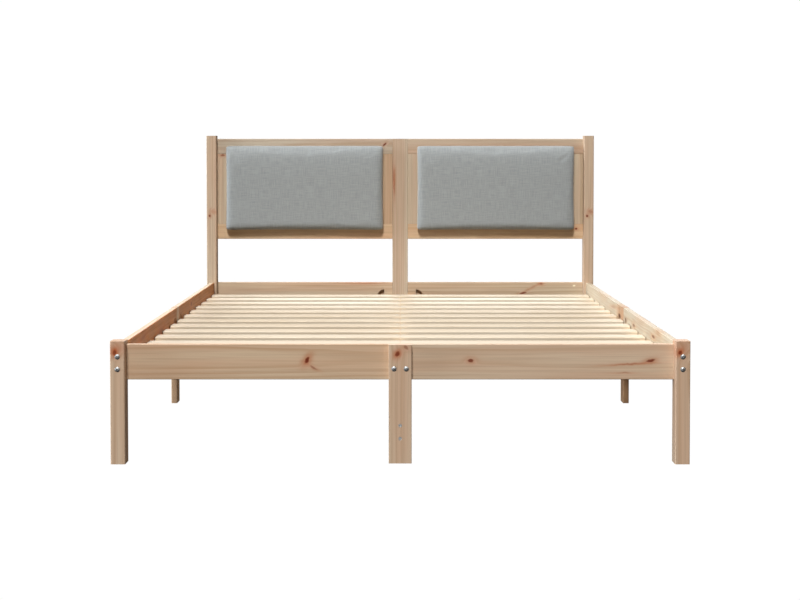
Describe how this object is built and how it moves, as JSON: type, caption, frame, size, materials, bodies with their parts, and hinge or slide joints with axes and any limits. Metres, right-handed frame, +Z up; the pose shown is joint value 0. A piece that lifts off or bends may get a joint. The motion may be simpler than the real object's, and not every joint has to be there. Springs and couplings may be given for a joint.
{
  "type": "bed frame",
  "caption": "Double bed frame of flat pine boards and square posts, with a slatted base and a low headboard of cushioned panels between tall posts.",
  "frame": {"origin": "on the floor, under the middle of the whole frame", "axes": "+Y runs from the foot end to the headboard, +X to the right when seen from the foot end, +Z up"},
  "size_m": [1.455, 2.0818, 0.853],
  "materials": {
    "pine_boards": "planed pine, waxed",
    "pine_battens": "sawn and planed pine",
    "pine_slats": "planed pine",
    "plywood": "sanded plywood",
    "beech_dowels": "fluted dowel rod",
    "zinc_hardware": "bright zinc plate",
    "grey_upholstery": "plain woven cloth over foam"
  },
  "bodies": {
    "root": {"foot_post_left": "pine_boards", "head_post_left": "pine_boards", "side_rail_left_foot": "pine_boards", "side_rail_left_head": "pine_boards", "side_leg_left": "pine_boards", "foot_rail_left": "pine_boards", "head_rail_left": "pine_boards", "headboard_top_rail_left": "pine_boards", "headboard_bottom_rail_left": "pine_boards", "headboard_outer_stile_left": "pine_boards", "headboard_inner_stile_left": "pine_boards", "foot_post_right": "pine_boards", "head_post_right": "pine_boards", "side_rail_right_foot": "pine_boards", "side_rail_right_head": "pine_boards", "side_leg_right": "pine_boards", "foot_rail_right": "pine_boards", "head_rail_right": "pine_boards", "headboard_top_rail_right": "pine_boards", "headboard_bottom_rail_right": "pine_boards", "headboard_outer_stile_right": "pine_boards", "headboard_inner_stile_right": "pine_boards", "foot_leg_front": "pine_boards", "foot_leg_rear": "pine_boards", "head_centre_post": "pine_boards", "ledger_left_foot": "pine_battens", "ledger_left_head": "pine_battens", "ledger_right_foot": "pine_battens", "ledger_right_head": "pine_battens", "slat_block_left": "pine_battens", "slat_block_right": "pine_battens", "beam_cradle_foot": "pine_battens", "beam_cradle_head": "pine_battens", "centre_beam_foot": "pine_battens", "centre_beam_head": "pine_battens", "centre_beam_leg": "pine_battens", "slat_row_1": "pine_slats", "slat_row_2": "pine_slats", "slat_row_3": "pine_slats", "slat_row_4": "pine_slats", "slat_row_5": "pine_slats", "slat_row_6": "pine_slats", "slat_row_7": "pine_slats", "slat_row_8": "pine_slats", "slat_row_9": "pine_slats", "slat_row_10": "pine_slats", "slat_row_11": "pine_slats", "slat_row_12": "pine_slats", "slat_row_13": "pine_slats", "frame_bolts": "zinc_hardware", "bolt_nuts": "zinc_hardware", "stud_rods": "zinc_hardware", "half_moon_washers": "zinc_hardware", "stud_nuts": "zinc_hardware", "wood_screws": "zinc_hardware", "wood_dowels": "beech_dowels", "cushion_board_left": "plywood", "cushion_board_right": "plywood", "cushion_left": "grey_upholstery", "cushion_right": "grey_upholstery"}
  },
  "joints": []
}
